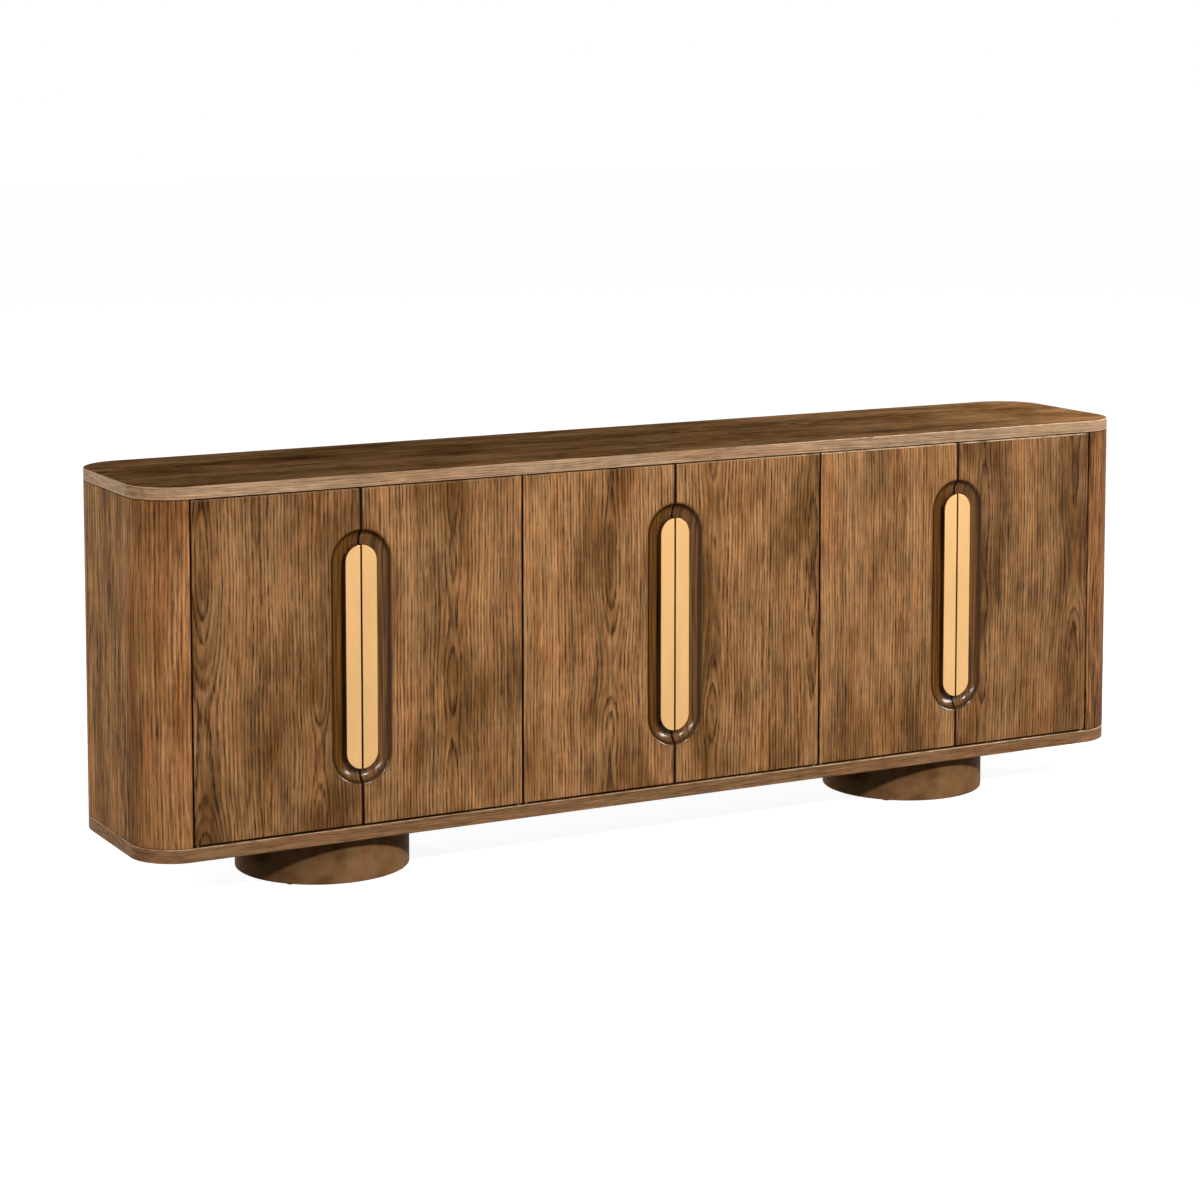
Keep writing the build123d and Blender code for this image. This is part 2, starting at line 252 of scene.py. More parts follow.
def cut(piece, cutter):
    activate(piece)
    step = piece.modifiers.new("Cut", "BOOLEAN")
    step.operation = "DIFFERENCE"
    step.solver = "EXACT"
    step.object = cutter
    bpy.ops.object.modifier_apply(modifier=step.name)
    bpy.data.objects.remove(cutter, do_unlink=True)


def copy_of(piece, name, shift=(0, 0, 0)):
    other = piece.copy()
    other.data = piece.data.copy()
    other.name = other.data.name = name
    bpy.context.collection.objects.link(other)
    other.data.transform(Matrix.Translation(shift))
    return other


def join(name, pieces):
    """Makes one object of several."""
    deselect()
    for piece in pieces:
        piece.select_set(True)
    bpy.context.view_layer.objects.active = pieces[0]
    if len(pieces) > 1:
        bpy.ops.object.join()
    pieces[0].name = pieces[0].data.name = name
    return pieces[0]


def solid_boxes(node):
    """The box of each separate solid in a node of the frame, read from its mesh."""
    mesh = bmesh.new()
    mesh.from_mesh(nodes[node].data)
    bmesh.ops.remove_doubles(mesh, verts=mesh.verts, dist=close_to / 5)
    unseen = set(mesh.verts)
    boxes = []
    while unseen:
        solid = [unseen.pop()]
        for vertex in solid:
            for edge in vertex.link_edges:
                other = edge.other_vert(vertex)
                if other in unseen:
                    unseen.remove(other)
                    solid.append(other)
        points = [nodes[node].matrix_world @ vertex.co for vertex in solid]
        low = Vector([min(point[axis] for point in points) for axis in range(3)])
        high = Vector([max(point[axis] for point in points) for axis in range(3)])
        boxes.append((low, high))
    mesh.free()
    return sorted(boxes, key=lambda box: (round(box[0].x, 4), round(box[0].y, 4), round(box[0].z, 4)))


def trim(piece, x, keep_left):
    """Cuts a piece across at x and keeps one side."""
    low, high = Vector(cad_box[0]) - room, Vector(cad_box[1]) + room
    if keep_left:
        low.x = x
    else:
        high.x = x
    cut(piece, add_block("trim_cutter", low, high))


def put_on(piece, body, slot, material, *replaced):
    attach(piece, body)
    piece.data.materials.clear()
    piece.data.materials.append(material)
    if replaced:
        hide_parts(*replaced)


# Pieces

leaf_low, leaf_high = solid_boxes("door_1_hinge_leaves")[0]
leaf_thickness = round(leaf_high.z - leaf_low.z, 6)


def make_slab(name, node):
    """A board with four round corners, eased all round, with a pocket for each hinge leaf."""
    low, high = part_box(node)
    piece = add_block(name, low, high)
    open_edit(piece)
    choose(piece, "EDGE", lambda edge: runs_along(edge, Z))
    bevel(corner_radius, corner_steps)
    choose(piece, "EDGE", lambda edge: in_plane(edge, Z, low.z) or in_plane(edge, Z, high.z))
    bevel(slab_ease, 4)
    close_edit()
    if node == "base_slab":
        start, end = high.z - leaf_thickness, high.z + cut_room
    else:
        start, end = low.z - cut_room, low.z + leaf_thickness
    pockets = [make_leaf("pocket", hinge_x, toward, start, end, leaf_room)
               for hinge_x, toward in hinge_places()]
    cut(piece, join("pockets", pockets))
    return finish_surface(piece)


def make_end(name, node, outer_x):
    """A flat end panel, its outer edges eased."""
    piece = add_block(name, *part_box(node))
    open_edit(piece)
    choose(piece, "EDGE", lambda edge: in_plane(edge, X, outer_x))
    bevel(seam_ease, 2)
    close_edit()
    return finish_surface(piece)


def make_corner(name, node, centre):
    """A quarter ring: one flat section, spun a quarter turn."""
    low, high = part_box(node)
    side_x = 1 if low.x > centre.x - close_to else -1
    side_y = 1 if low.y > centre.y - close_to else -1
    middle = centre.x + side_x * (corner_radius - corner_wall / 2)
    piece = add_flat(name, (middle, centre.y, (low.z + high.z) / 2), corner_wall, high.z - low.z,
                     (math.pi / 2, 0, 0))
    open_edit(piece)
    bpy.ops.mesh.select_all(action="SELECT")
    bpy.ops.mesh.spin(steps=corner_steps, angle=math.pi / 2, center=centre, axis=(0, 0, -side_x * side_y))
    close_edit()
    face_out(piece)

    def outer(edge):
        away = [math.hypot(end.x - centre.x, end.y - centre.y) for end in ends(edge)]
        level = in_plane(edge, Z, low.z) or in_plane(edge, Z, high.z)
        at_end = in_plane(edge, X, centre.x) or in_plane(edge, Y, centre.y)
        return min(away) > corner_radius - corner_wall / 2 and (level or at_end)

    open_edit(piece)
    choose(piece, "EDGE", outer)
    bevel(seam_ease, 2)
    close_edit()
    return finish_surface(piece)


def from_stadium(point, seam_x):
    """Distance from the line that runs up the middle of a scoop."""
    rise = max(0, abs(point.z - door_middle_z) - scoop_straight / 2)
    return math.hypot(point.x - seam_x, rise)


def make_stadium(name, seam_x, radius, start_y, end_y):
    """A block with fully round ends."""
    reach = scoop_straight / 2 + radius
    piece = add_block(name, (seam_x - radius, start_y, door_middle_z - reach),
                      (seam_x + radius, end_y, door_middle_z + reach))
    open_edit(piece)
    choose(piece, "EDGE", lambda edge: runs_along(edge, Y))
    bevel(radius - close_to / 5, 20)
    close_edit()
    return piece


def make_ring_cutter(seam_x):
    """The cut of a scoop: a flat-bottomed cove section, led round a stadium."""
    reach = scoop_radius - scoop_floor_end
    cove_radius = (reach ** 2 + scoop_depth ** 2) / (2 * scoop_depth)
    outer = scoop_floor_end + cove_radius
    depth_span = scoop_depth + cove_radius
    high_z, low_z = door_middle_z + scoop_straight / 2, door_middle_z - scoop_straight / 2
    piece = add_flat("scoop_cutter", (seam_x + (island_radius + outer) / 2,
                                      front_y + scoop_depth - depth_span / 2, high_z),
                     outer - island_radius, depth_span, (0, 0, 0))
    open_edit(piece)
    choose(piece, "VERT", lambda vertex: near(vertex.co.x, seam_x + outer)
           and near(vertex.co.y, front_y + scoop_depth))
    bevel(cove_radius, 14, "VERTICES")
    bpy.ops.mesh.select_all(action="SELECT")
    bpy.ops.mesh.spin(steps=28, angle=math.pi, center=(seam_x, front_y, high_z), axis=(0, 1, 0))
    bpy.ops.mesh.extrude_region_move(TRANSFORM_OT_translate={"value": (0, 0, -scoop_straight)})
    bpy.ops.mesh.spin(steps=28, angle=math.pi, center=(seam_x, front_y, low_z), axis=(0, 1, 0))
    bpy.ops.mesh.extrude_region_move(TRANSFORM_OT_translate={"value": (0, 0, scoop_straight)})
    choose(piece, "FACE", lambda face: abs(face.normal.z) > 0.99
           and near(face.calc_center_median().z, high_z)
           and face.calc_center_median().x > seam_x)
    bpy.ops.mesh.delete(type="FACE")
    close_edit()
    face_out(piece)
    return piece


def make_door_pair():
    """The first pair as one board: scoop cut, its rim rounded, then split at the seam and eased."""
    seam_x = pair_seams[0]
    low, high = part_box("door_1_panel")[0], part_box("door_2_panel")[1]
    board = add_block("door_board", low, high)
    open_edit(board)
    choose(board, "EDGE", lambda edge: in_plane(edge, Y, front_y))
    bevel(door_ease, 5)
    close_edit()
    cut(board, make_ring_cutter(seam_x))
    cut(board, make_stadium("island_cutter", seam_x, island_radius + island_slack,
                            front_y - cut_room, front_y + plate_thickness))
    open_edit(board)
    choose(board, "EDGE", lambda edge: in_plane(edge, Y, front_y)
           and all(abs(from_stadium(end, seam_x) - scoop_radius) < mm for end in ends(edge)))
    bevel(scoop_rim, 6)
    close_edit()
    pockets = [make_leaf("pocket", hinge_x, toward, start, end, leaf_room)
               for hinge_x, toward in hinge_places()[:2]
               for start, end in ((low.z - cut_room, low.z + leaf_thickness),
                                  (high.z - leaf_thickness, high.z + cut_room))]
    cut(board, join("pockets", pockets))
    reach = leaf_thickness + pin_reach + pin_end_room
    drills = [pin_drill(hinge_x, start, end, pin_end_room)
              for hinge_x, toward in hinge_places()[:2]
              for start, end in ((low.z - cut_room, low.z + reach), (high.z - reach, high.z + cut_room))]
    cut(board, join("drills", drills))
    doors = []
    for number, keep_left in ((1, True), (2, False)):
        door = copy_of(board, "door_%d" % number)
        panel_low, panel_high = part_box("door_%d_panel" % number)
        cut_x = panel_high.x if keep_left else panel_low.x
        trim(door, cut_x, keep_left)
        open_edit(door)
        choose(door, "EDGE", lambda edge: in_plane(edge, X, cut_x) and in_plane(edge, Y, front_y))
        bevel(door_seam_ease, 3)
        close_edit()
        doors.append(door)
    bpy.data.objects.remove(board, do_unlink=True)
    return doors


def make_plate(number):
    """Half a stadium of brass with a fine chamfer."""
    seam_x = pair_seams[(number - 1) // 2]
    low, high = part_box("door_%d_pull_plate" % number)
    piece = make_stadium("door_%d_plate" % number, seam_x, island_radius, front_y,
                         front_y + plate_thickness)
    left = number % 2 == 1
    trim(piece, high.x if left else low.x, left)
    open_edit(piece)
    choose(piece, "EDGE", lambda edge: in_plane(edge, Y, front_y))
    bevel(plate_ease, 2)
    close_edit()
    return finish_surface(piece, 30)


def make_drum(name, node):
    """A plinth shell: an open tube, thickened inwards and eased at its foot."""
    low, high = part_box(node)
    centre_x, radius = (low.x + high.x) / 2, (high.x - low.x) / 2
    piece = add_round(name, radius, (centre_x, 0, low.z), (centre_x, 0, high.z), 128)
    open_edit(piece)
    choose(piece, "FACE", lambda face: abs(face.normal.z) > 0.9)
    bpy.ops.mesh.delete(type="ONLY_FACE")
    close_edit()
    activate(piece)
    wall = piece.modifiers.new("Wall", "SOLIDIFY")
    wall.thickness = plinth_wall
    wall.offset = -1
    bpy.ops.object.modifier_apply(modifier=wall.name)
    open_edit(piece)
    choose(piece, "EDGE", lambda edge: in_plane(edge, Z, low.z)
           and all(math.hypot(end.x - centre_x, end.y) > radius - close_to for end in ends(edge)))
    bevel(plinth_ease, 3)
    close_edit()
    return finish_surface(piece)


def make_board(name, node, ease=board_ease):
    """A flat board or block with all its edges eased."""
    piece = add_block(name, *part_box(node))
    open_edit(piece)
    bpy.ops.mesh.select_all(action="SELECT")
    bevel(ease, 2)
    close_edit()
    return piece


def make_wall(name, node):
    """An inner wall with three heights of shelf pin holes in two rows."""
    low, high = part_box(node)
    piece = make_board(name, node)
    drills = []
    for pin_low, pin_high in solid_boxes("shelf_pins"):
        if pin_high.x < low.x or pin_low.x > high.x:
            continue
        from_left = pin_low.x < low.x
        start = low.x - cut_room if from_left else high.x + cut_room
        end = pin_high.x if from_left else pin_low.x
        middle = (pin_low + pin_high) / 2
        for step in (-1, 0, 1):
            rise = middle.z + step * pin_hole_step
            drills.append(add_round("drill", pin_hole_radius, (start, middle.y, rise),
                                    (end, middle.y, rise), 24))
    cut(piece, join("drills", drills))
    return finish_surface(piece)


def make_leaf(name, hinge_x, toward, low_z, high_z, grow=0):
    """A tapered bar with round ends. toward is the side of the pivot that its tail lies on."""
    nose_x = hinge_x - toward * (leaf_nose_radius + grow)
    tail_x = hinge_x + toward * (leaf_tail_inset - pivot_inset + leaf_tail_radius + grow)
    nose_y = front_y + pivot_depth
    tail_y = front_y + leaf_tail_depth
    piece = add_block(name, (min(nose_x, tail_x), nose_y - leaf_nose_radius - grow, low_z),
                      (max(nose_x, tail_x), nose_y + leaf_nose_radius + grow, high_z))
    open_edit(piece)
    for side in (-1, 1):
        choose(piece, "VERT", lambda vertex: near(vertex.co.x, tail_x)
               and side * (vertex.co.y - nose_y) > 0)
        shift = tail_y - nose_y + side * (leaf_tail_radius - leaf_nose_radius)
        bpy.ops.transform.translate(value=(0, shift, 0))
    choose(piece, "EDGE", lambda edge: runs_along(edge, Z) and in_plane(edge, X, tail_x))
    bevel((leaf_tail_radius + grow) * leaf_round_share, 8)
    choose(piece, "EDGE", lambda edge: runs_along(edge, Z) and in_plane(edge, X, nose_x))
    bevel((leaf_nose_radius + grow) * leaf_round_share, 6)
    close_edit()
    return piece


def pin_drill(hinge_x, start, end, grow):
    """A cutter for the hole that a pivot pin stands in."""
    y = front_y + pivot_depth
    return add_round("drill", pin_radius + grow, (hinge_x, y, start), (hinge_x, y, end))


def hinge_places():
    """X of each door's pivot, and the side of it that the door lies on."""
    places = []
    for number in door_numbers:
        low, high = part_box("door_%d_panel" % number)
        left = number % 2 == 1
        places.append((low.x + pivot_inset if left else high.x - pivot_inset, 1 if left else -1))
    return places


def ease_rims(piece, width, segments=2):
    """Eases every edge that turns by more than 40 degrees."""
    open_edit(piece)
    choose(piece, "EDGE", lambda edge: len(edge.link_faces) == 2
           and edge.calc_face_angle(0) > math.radians(40))
    bevel(width, segments)
    close_edit()


def make_fixed_leaves():
    """The leaves let into both slabs, each with the thrust washer that its door runs on."""
    parts = []
    for hinge_x, toward in hinge_places():
        for seat, outward, end in ((base_top_z, -1, door_low_z - washer_room),
                                   (top_under_z, 1, door_high_z + washer_room)):
            levels = sorted((seat, seat + outward * leaf_thickness))
            leaf = make_leaf("leaf", hinge_x, toward, *levels)
            ease_rims(leaf, leaf_ease)
            washer = add_round("washer", leaf_nose_radius, (hinge_x, front_y + pivot_depth, seat),
                               (hinge_x, front_y + pivot_depth, end))
            ease_rims(washer, washer_ease)
            parts += [leaf, washer]
    return finish_surface(join("slab_hinge_leaves", parts))


def make_rounds(name, node, axis, ease, sides=32, segments=3, radius=None):
    """The solids of a node as round pieces along one axis, with eased ends."""
    across = Z if axis == X else X
    rounds = []
    for low, high in solid_boxes(node):
        foot = (low + high) / 2
        head = foot.copy()
        foot[axis], head[axis] = low[axis], high[axis]
        piece = add_round("round", radius or (high[across] - low[across]) / 2, foot, head, sides)
        ease_rims(piece, ease, segments)
        rounds.append(piece)
    return finish_surface(join(name, rounds))


def make_door_leaves(number):
    """The leaves in a door's top and bottom edge, drilled for their pins."""
    hinge_x, toward = hinge_places()[number - 1]
    parts = []
    for low, high in solid_boxes("door_%d_hinge_leaves" % number):
        leaf = make_leaf("leaf", hinge_x, toward, low.z, high.z)
        ease_rims(leaf, leaf_ease)
        cut(leaf, pin_drill(hinge_x, low.z - cut_room, high.z + cut_room, pin_room))
        parts.append(leaf)
    return finish_surface(join("door_%d_leaves" % number, parts))


def make_screw(head_radius, head_height, shank_radius, length):
    """A pan head screw with a cross recess. Its head stands on z = 0 and its shank points down."""
    piece = add_round("screw_model", head_radius, (0, 0, 0), (0, 0, head_height), 32)
    open_edit(piece)
    choose(piece, "EDGE", lambda edge: in_plane(edge, Z, head_height))
    bevel(head_height * 0.7, 5)
    choose(piece, "FACE", lambda face: face.normal.z < -0.9)
    bpy.ops.mesh.inset(thickness=head_radius - shank_radius)
    for run in (length * 0.8, length * 0.2):
        bpy.ops.mesh.extrude_region_move(TRANSFORM_OT_translate={"value": (0, 0, -run)})
    bpy.ops.transform.resize(value=(0.2, 0.2, 1), center_override=(0, 0, -length))
    close_edit()
    arm, width, recess_z = head_radius * 0.55, head_radius * 0.13, head_height * 0.35
    for reach_x, reach_y in ((arm, width), (width, arm)):
        cut(piece, add_block("recess", (-reach_x, -reach_y, recess_z),
                             (reach_x, reach_y, head_height + cut_room)))
    return piece


def make_screws(name, node, axis, head_sign, head_height, head_radius, shank_radius):
    """Copies of one screw, each put where the node has one. Each is turned a little differently."""
    boxes = solid_boxes(node)
    length = boxes[0][1][axis] - boxes[0][0][axis] - head_height
    model = make_screw(head_radius, head_height, shank_radius, length)
    aim = Vector([head_sign if number == axis else 0 for number in range(3)])
    turn = aim.to_track_quat("Z", "Y").to_matrix().to_4x4()
    screws = []
    for count, (low, high) in enumerate(boxes):
        seat = (low + high) / 2
        seat[axis] = high[axis] - head_height if head_sign > 0 else low[axis] + head_height
        screw = copy_of(model, "screw")
        twist = Matrix.Rotation(math.radians(count * 37 % 90), 4, "Z")
        screw.data.transform(Matrix.Translation(seat) @ turn @ twist)
        screws.append(screw)
    bpy.data.objects.remove(model, do_unlink=True)
    return finish_surface(join(name, screws), 35)


def make_catches():
    """Housings with an ear at each end: a plate whose middle is drawn down, open for the magnets."""
    magnets = solid_boxes("catch_magnets")
    catches = []
    for low, high in solid_boxes("catch_housings"):
        ear_z = high.z - ear_thickness
        start_x, end_x = low.x + ear_length, high.x - ear_length
        catch = add_block("catch", (low.x, low.y, ear_z), high)
        open_edit(catch)
        for x in (start_x, end_x):
            bpy.ops.mesh.select_all(action="SELECT")
            bpy.ops.mesh.bisect(plane_co=(x, 0, 0), plane_no=(1, 0, 0))
        choose(catch, "FACE", lambda face: face.normal.z < -0.9
               and start_x < face.calc_center_median().x < end_x)
        bpy.ops.mesh.extrude_region_move(TRANSFORM_OT_translate={"value": (0, 0, low.z - ear_z)})
        close_edit()
        ease_rims(catch, catch_ease, 3)
        gap = Vector((magnet_room, magnet_room, magnet_room))
        for magnet_low, magnet_high in magnets:
            if low.x < magnet_low.x < high.x:
                cut(catch, add_block("pocket", magnet_low - gap, magnet_high + gap))
        catches.append(catch)
    return finish_surface(join("catches", catches))


def make_blocks(name, node, ease):
    """The solids of a node as blocks with eased edges."""
    blocks = []
    for low, high in solid_boxes(node):
        block = add_block("block", low, high)
        ease_rims(block, ease)
        blocks.append(block)
    return finish_surface(join(name, blocks))


def make_strike(number):
    """A thin plate with round corners and a dimple where its screw sits."""
    low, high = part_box("door_%d_strike_plate" % number)
    piece = add_block("door_%d_strike" % number, low, high)
    open_edit(piece)
    choose(piece, "EDGE", lambda edge: runs_along(edge, Y))
    bevel(strike_corner, 5)
    choose(piece, "EDGE", lambda edge: in_plane(edge, Y, high.y))
    bevel(strike_ease, 2)
    close_edit()
    middle = (low + high) / 2
    cut(piece, add_round("dimple", dimple_radius, (middle.x, high.y - dimple_depth, middle.z),
                         (middle.x, high.y + cut_room, middle.z)))
    return finish_surface(piece)


# Shader helpers

def srgb(red, green, blue):
    """A colour given as 0 to 255 on a screen, as the linear value that shaders take."""
    values = []
    for level in (red, green, blue):
        level = level / 255
        values.append(level / 12.92 if level <= 0.04045 else ((level + 0.055) / 1.055) ** 2.4)
    return (*values, 1)


class Graph:
    """Adds and joins shader nodes in one tree."""

    def __init__(self, tree):
        self.tree = tree

    def feed(self, socket, value):
        if isinstance(value, bpy.types.NodeSocket):
            self.tree.links.new(value, socket)
        else:
            socket.default_value = value

    def add(self, kind, values=None, **settings):
        node = self.tree.nodes.new("ShaderNode" + kind)
        for name, setting in settings.items():
            setattr(node, name, setting)
        for name, value in (values or {}).items():
            self.feed(node.inputs[name], value)
        return node

    def group(self, tree, values):
        return self.add("Group", values, node_tree=tree)

    def math(self, operation, *values):
        node = self.add("Math", operation=operation)
        for socket, value in zip(node.inputs, values):
            self.feed(socket, value)
        return node.outputs[0]

    def plus(self, *values):
        total = values[0]
        for value in values[1:]:
            total = self.math("ADD", total, value)
        return total

    def minus(self, first, second):
        return self.math("SUBTRACT", first, second)

    def times(self, *values):
        total = values[0]
        for value in values[1:]:
            total = self.math("MULTIPLY", total, value)
        return total

    def largest(self, first, second):
        return self.math("MAXIMUM", first, second)

    def apart(self, first, second):
        """How far two values lie apart."""
        return self.math("ABSOLUTE", self.minus(first, second))

    def swing(self, noise, size):
        """A noise of 0 to 1 as a swing to both sides of 0."""
        return self.times(self.plus(noise, -0.5), size)

    def span(self, value, low, high, to_low=0, to_high=1, smooth=True):
        kind = "SMOOTHSTEP" if smooth else "LINEAR"
        node = self.add("MapRange", interpolation_type=kind)
        for socket, number in zip(node.inputs, (value, low, high, to_low, to_high)):
            self.feed(socket, number)
        return node.outputs[0]

    def point(self, x, y, z=0):
        return self.add("CombineXYZ", {"X": x, "Y": y, "Z": z}).outputs[0]

    def axes(self, vector):
        return self.add("SeparateXYZ", {"Vector": vector}).outputs

    def noise(self, vector, detail=2, rough=0.5):
        """Noise over coordinates that are already scaled, from 0 to 1."""
        node = self.add("TexNoise", {"Vector": vector, "Scale": 1, "Detail": detail, "Roughness": rough})
        return node.outputs["Fac"]

    def grain(self, across, per_across, along, per_along, layer=0, detail=2, rough=0.5):
        """Noise with so many swings a metre across the grain and along it."""
        place = self.point(self.times(across, per_across), self.times(along, per_along), layer)
        return self.noise(place, detail, rough)

    def mix(self, factor, first, second, blend="MIX"):
        return self.add("Mix", {0: factor, 6: first, 7: second}, data_type="RGBA",
                        blend_type=blend).outputs[2]

    def scaled(self, vector, amount):
        return self.add("VectorMath", {0: vector, "Scale": amount}, operation="SCALE").outputs[0]


# Effects that several materials share, each a node group

socket_kinds = {"value": "NodeSocketFloat", "vector": "NodeSocketVector", "colour": "NodeSocketColor"}


def new_group(name, inputs, outputs):
    """A node group. inputs and outputs name their sockets by kind. Returns its graph and its inputs."""
    tree = bpy.data.node_groups.new(name, "ShaderNodeTree")
    for way, sockets in (("INPUT", inputs), ("OUTPUT", outputs)):
        for kind, labels in sockets.items():
            for label in labels:
                tree.interface.new_socket(label, in_out=way, socket_type=socket_kinds[kind])
    return Graph(tree), tree.nodes.new("NodeGroupInput").outputs


def end_group(graph, values):
    node = graph.tree.nodes.new("NodeGroupOutput")
    for label, value in values.items():
        graph.feed(node.inputs[label], value)
    return graph.tree


def make_veneer_group():
    """Sliced veneer: straight rings that close into eyes and points along one or two heart lines."""
    g, given = new_group("Veneer", {
        "value": ("Across", "Along", "Depth", "First heart", "Second heart", "Phase", "Ring width",
                  "Eye size", "Line strength", "Cloudiness", "Cloud rise", "Streaks"),
        "colour": ("Light", "Dark", "Cloud", "Warm")},
        {"colour": ("Color",), "value": ("Sheen", "Height")})
    along = g.plus(given["Along"], given["Phase"])
    slow = g.point(g.times(given["Across"], 1.5), g.times(along, 1.6), g.times(given["Depth"], 3.0))
    wander = g.swing(g.noise(slow, 1), 24 * mm)
    wobble = g.swing(g.grain(given["Across"], 14.0, along, 8.0, given["Depth"], 1), 4 * mm)
    across = g.plus(given["Across"], wander, wobble)
    first = g.apart(across, given["First heart"])
    second = g.apart(across, given["Second heart"])
    off = g.math("MINIMUM", first, second)
    side = g.times(g.math("LESS_THAN", second, first), 3.7)

    def along_heart(per_along, layer):
        return g.noise(g.point(g.plus(g.times(along, per_along), side), layer), 1)

    # How far the cut lies from the heart, which swells and narrows along the grain
    swell = g.span(along_heart(3.3, side), 0.30, 0.66)
    ripple = along_heart(10.0, 4.0)
    reach = g.span(along_heart(1.3, 8.0), 0.50, 0.74)
    depth = g.times(given["Eye size"], g.plus(swell, g.times(ripple, 0.35), g.times(reach, 1.6)))
    rings = g.math("SQRT", g.plus(g.times(off, off), g.times(depth, depth)))
    crowd = g.noise(g.point(g.times(rings, 34.0), given["Phase"]), 1)
    rings = g.plus(rings, g.times(crowd, 8 * mm))
    fray = g.grain(across, 380.0, along, 22.0)
    count = g.plus(g.math("DIVIDE", rings, given["Ring width"]), g.times(fray, 0.45))
    turn = g.math("FRACT", count)
    late = g.times(g.span(turn, 0.25, 0.80), g.span(turn, 0.88, 1.0, 1, 0))
    own = g.add("TexWhiteNoise", {"W": g.math("FLOOR", count)}, noise_dimensions="1D").outputs["Value"]
    strength = g.span(own, 0, 1, 0.45, 1.0, smooth=False)
    dash = g.span(g.grain(across, 260.0, along, 26.0, 1.0), 0.34, 0.62, 0.35, 1.0)
    line = g.times(late, strength, dash, given["Line strength"])

    # Streaks along the grain, pores, cross figure and clouds
    fine = g.grain(across, 620.0, along, 20.0)
    streak = g.grain(across, 150.0, along, 7.0)
    broad = g.grain(across, 17.0, along, 1.4, 3.0)
    mottle = g.grain(across, 30.0, along, 42.0, 5.0, 1)
    pore_field = g.grain(across, 900.0, along, 40.0, 7.0, 1)
    pores = g.times(g.span(pore_field, 0.56, 0.72), g.span(turn, 0.0, 0.6, 1, 0.35))
    cloud_field = g.grain(across, 10.0, along, given["Cloud rise"], 2.0, 3, 0.6)
    near_heart = g.span(off, 0, 80 * mm, 0.12, 0)
    cloud = g.times(g.span(g.plus(cloud_field, near_heart), 0.40, 0.76), given["Cloudiness"])
    tint = g.span(g.grain(across, 30.0, along, 3.0, 9.0), 0.40, 0.68)

    streaks = g.plus(g.swing(fine, 1.2), g.swing(streak, 1.4), g.swing(broad, 0.85))
    level = g.plus(1.04, g.times(streaks, given["Streaks"]), g.swing(mottle, 0.28),
                   g.times(pores, given["Line strength"], -0.38))
    colour = g.mix(line, given["Light"], given["Dark"])
    colour = g.mix(g.times(tint, 0.6), colour, given["Warm"], "MULTIPLY")
    colour = g.mix(cloud, colour, given["Cloud"], "MULTIPLY")
    return end_group(g, {
        "Color": g.scaled(colour, level),
        "Sheen": g.plus(g.times(line, 0.08), g.times(pores, 0.25), g.swing(mottle, 0.10)),
        "Height": g.plus(g.times(line, -0.45), g.times(pores, -0.8), g.times(fine, 0.15))})


def make_unroll_group():
    """Lays a round wall out flat: across is the length along its arc."""
    g, given = new_group("Round wall laid flat", {
        "vector": ("Position",), "value": ("Centre X", "Centre Y", "Radius")},
        {"value": ("Across", "Along")})
    x, y, z = g.axes(given["Position"])
    right = g.minus(x, given["Centre X"])
    back = g.minus(y, given["Centre Y"])
    turn = g.math("ARCTAN2", right, g.times(back, -1.0))
    return end_group(g, {"Across": g.times(turn, given["Radius"]), "Along": z})


def make_scoop_group():
    """1 inside the scoop of a door pair, fading over its round rim, and the way from its middle line."""
    g, given = new_group("Inside the scoop", {
        "vector": ("Position",), "value": ("Seam X", "Middle Z", "Straight", "Start", "End")},
        {"value": ("Mask", "Distance")})
    x, y, z = g.axes(given["Position"])
    aside = g.minus(x, given["Seam X"])
    rise = g.largest(g.minus(g.apart(z, given["Middle Z"]), given["Straight"]), 0.0)
    away = g.math("SQRT", g.plus(g.times(aside, aside), g.times(rise, rise)))
    return end_group(g, {"Mask": g.span(away, given["Start"], given["End"], 1.0, 0.0),
                         "Distance": away})


def make_arris_highlight_group():
    """A painted highlight along an arris, where light catches it: a light line broken into dashes, stronger
    towards the right.
    """
    g, given = new_group("Painted arris highlight", {
        "colour": ("Color",), "value": ("Distance", "X", "Across", "On left")}, {"colour": ("Color",)})
    patchy = g.grain(given["X"], 30.0, given["Across"], 12.0)
    line = g.times(g.span(given["Distance"], 0.8 * mm, 2.8 * mm, 1, 0),
                   g.span(given["X"], -0.1, 0.7, given["On left"], 1),
                   g.span(patchy, 0.36, 0.58, 0.25, 0.9))
    return end_group(g, {"Color": g.mix(line, given["Color"], highlight_tone)})


def make_joint_group():
    """Fine dark lines where a wall of the case meets the two slabs."""
    g, given = new_group("Joints with the slabs", {
        "colour": ("Color",), "value": ("Z", "Base top", "Top underside")}, {"colour": ("Color",)})
    from_slab = g.math("MINIMUM", g.minus(given["Z"], given["Base top"]),
                       g.minus(given["Top underside"], given["Z"]))
    return end_group(g, {"Color": g.mix(g.span(from_slab, mm, 3 * mm, 0.6, 0), given["Color"],
                                        dark_gap_tone)})


def make_metal_group():
    """A fine brushed grain under a faint haze. Grain is its swings a metre along each axis."""
    g, given = new_group("Brushed metal", {"vector": ("Position", "Grain"), "colour": ("Tone",)},
                         {"colour": ("Color",), "value": ("Sheen", "Height")})
    place = g.add("VectorMath", {0: given["Position"], 1: given["Grain"]}, operation="MULTIPLY")
    brush = g.noise(place.outputs[0])
    x, y, z = g.axes(given["Position"])
    haze = g.grain(x, 30.0, y, 30.0, g.times(z, 8.0))
    level = g.plus(1.0, g.swing(brush, 0.14), g.swing(haze, 0.20))
    return end_group(g, {"Color": g.scaled(given["Tone"], level), "Sheen": g.swing(brush, 0.16),
                         "Height": brush})


